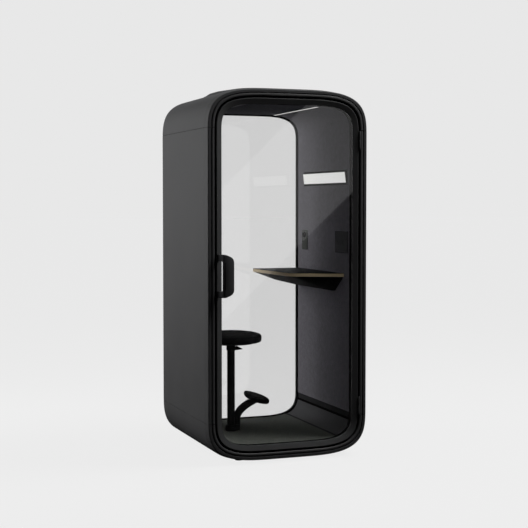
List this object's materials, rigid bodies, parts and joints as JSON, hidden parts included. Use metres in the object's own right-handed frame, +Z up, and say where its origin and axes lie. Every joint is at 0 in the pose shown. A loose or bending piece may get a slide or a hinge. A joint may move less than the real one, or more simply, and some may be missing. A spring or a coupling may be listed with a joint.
{
  "type": "acoustic office pod",
  "caption": "Upright one-person acoustic pod with a rounded shell, glazed hinged door and rear wall, felt lining, corner desk, lights and a height-adjustable stool.",
  "frame": {"origin": "middle of the bounding box at the floor, under the levelling feet", "axes": "+Z up, +X to the right seen from the door, +Y from the door to the rear glass"},
  "size_m": [1.03, 1.007, 2.2463],
  "materials": {
    "shell_paint": "fine matt dark grey lacquer on sheet-faced panels",
    "trim_paint": "satin dark grey lacquer on an extruded bead",
    "door_paint": "matt dark grey lacquer on an aluminium frame",
    "black_metal": "satin black powder coat",
    "black_frame": "satin black lacquer on aluminium",
    "black_plastic": "fine-grained black plastic",
    "plate_grey": "matt grey plastic",
    "rubber": "matt black rubber",
    "glass": "clear laminated glass, faint grey cast",
    "wall_felt": "grey needled felt",
    "ceiling_felt": "dark grey needled felt",
    "carpet": "short dark grey loop carpet",
    "core": "sound-deadening slab",
    "steel": "bare steel",
    "lens": "opal white diffuser, lit",
    "laminate": "black laminate, soft sheen",
    "ply": "birch plywood edge, clear matt",
    "desk_paint": "matt black painted board",
    "cushion": "black woven upholstery"
  },
  "bodies": {
    "pod": {"roof_shell": "shell_paint", "base_shell": "shell_paint", "left_side_panel": "shell_paint", "right_side_panel": "shell_paint", "roof_hood": "shell_paint", "front_trim_top": "trim_paint", "front_trim_bottom": "trim_paint", "front_trim_left": "trim_paint", "front_trim_right": "trim_paint", "door_jamb": "black_frame", "rear_frame": "black_frame", "light_line_channel": "black_frame", "door_seal": "rubber", "rear_glass_gasket": "rubber", "levelling_foot_1": "rubber", "levelling_foot_2": "rubber", "levelling_foot_3": "rubber", "levelling_foot_4": "rubber", "rear_glass": "glass", "lower_hinge_fixed_half": "black_metal", "upper_hinge_fixed_half": "black_metal", "wall_light_housing": "black_metal", "stool_floor_block": "black_metal", "stool_column": "black_metal", "footrest_arm": "black_metal", "left_wall_felt": "wall_felt", "right_wall_felt": "wall_felt", "ceiling_panel": "ceiling_felt", "left_skirting": "black_plastic", "right_skirting": "black_plastic", "fan_housing": "black_plastic", "socket_bezel": "black_plastic", "socket_insert": "black_plastic", "footrest_pad": "black_plastic", "control_plate": "plate_grey", "base_tray": "plate_grey", "floor_carpet": "carpet", "roof_core": "core", "left_core": "core", "right_core": "core", "light_line_lens": "lens", "wall_light_lens": "lens", "base_frame": "steel", "power_unit": "steel", "desk_laminate": "laminate", "desk_ply": "ply", "desk_body": "desk_paint"},
    "door": {"door_frame": "door_paint", "door_glass": "glass", "door_handle": "black_metal", "lower_hinge_door_half": "black_metal", "upper_hinge_door_half": "black_metal"},
    "lift": {"gas_post": "steel"},
    "seat": {"swivel_hub": "black_metal", "seat_pan": "black_plastic", "seat_cushion": "cushion"},
    "lever": {"height_lever": "black_metal"},
    "fan": {"fan_rotor": "black_plastic"},
    "knob": {"dimmer_knob": "black_plastic"},
    "button": {"fan_button": "black_plastic"}
  },
  "joints": [
    {"name": "door_hinge", "type": "hinge", "parent": "pod", "child": "door", "pos_m": [0.461, -0.4515, 1.122], "axis": [0, 0, 1], "range_deg": [0, 110]},
    {"name": "seat_lift", "type": "slide", "parent": "pod", "child": "lift", "axis": [0, 0, 1], "range_m": [0, 0.14]},
    {"name": "seat_swivel", "type": "hinge", "parent": "lift", "child": "seat", "pos_m": [-0.192, 0.0685, 0.652], "axis": [0, 0, 1], "continuous": true},
    {"name": "height_lever_lift", "type": "hinge", "parent": "seat", "child": "lever", "pos_m": [-0.1567, 0.0685, 0.63317], "axis": [0, -1, 0], "range_deg": [0, 8], "stiffness_Nm_per_rad": 0.6},
    {"name": "fan_spin", "type": "hinge", "parent": "pod", "child": "fan", "pos_m": [0, -0.2015, 2.202], "axis": [0, 0, 1], "continuous": true},
    {"name": "dimmer_turn", "type": "hinge", "parent": "pod", "child": "knob", "pos_m": [0.415, 0.3305, 1.342], "axis": [-1, 0, 0], "range_deg": [0, 270]},
    {"name": "fan_button_press", "type": "slide", "parent": "pod", "child": "button", "axis": [1, 0, 0], "range_m": [0, 0.0012], "stiffness_N_per_m": 300}
  ]
}
